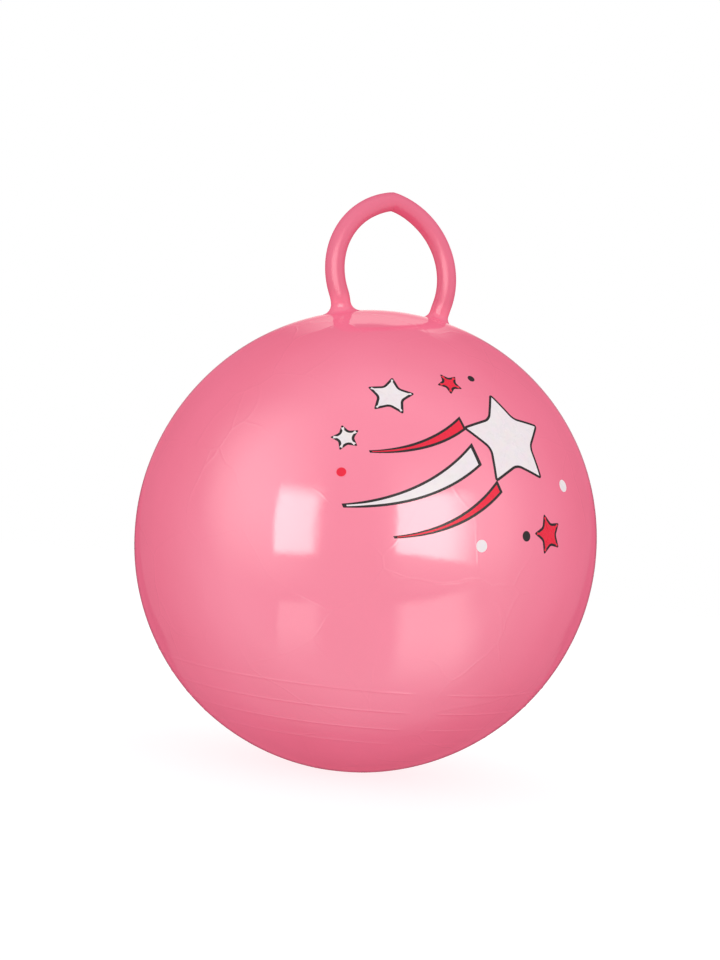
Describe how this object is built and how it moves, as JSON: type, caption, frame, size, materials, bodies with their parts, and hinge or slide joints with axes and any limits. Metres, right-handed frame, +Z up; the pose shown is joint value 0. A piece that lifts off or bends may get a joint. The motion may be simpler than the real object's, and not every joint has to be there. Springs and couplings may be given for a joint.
{
  "type": "hopper ball",
  "caption": "Inflated vinyl hopper ball with a hollow loop handle moulded on top, grip ribs round its lower half and a push-in valve plug at the back.",
  "frame": {"origin": "centre of the flattened patch that the ball stands on", "axes": "+Z up through the ball and its handle, -Y towards the printed front, X along the handle's span"},
  "size_m": [0.45, 0.45, 0.5638],
  "materials": {
    "pink_vinyl": "glossy soft vinyl, rotationally moulded",
    "valve_vinyl": "satin soft vinyl, injection moulded",
    "white_plug": "satin polyethylene, injection moulded"
  },
  "bodies": {
    "ball": {"ball_skin": "pink_vinyl", "handle_neck_left": "pink_vinyl", "handle_neck_right": "pink_vinyl", "valve_seat": "valve_vinyl"},
    "handle": {"handle_loop": "pink_vinyl"},
    "plug": {"valve_plug": "white_plug"}
  },
  "joints": [
    {"name": "handle_flex", "type": "hinge", "parent": "ball", "child": "handle", "pos_m": [0, 0.00053, 0.45421], "axis": [1, 0, 0], "range_deg": [-17, 43], "stiffness_Nm_per_rad": 3, "deforming": ["handle_neck_left", "handle_neck_right"]},
    {"name": "plug_pull", "type": "slide", "parent": "ball", "child": "plug", "axis": [0, 0.5299, 0.848], "range_m": [0, 0.03]}
  ]
}
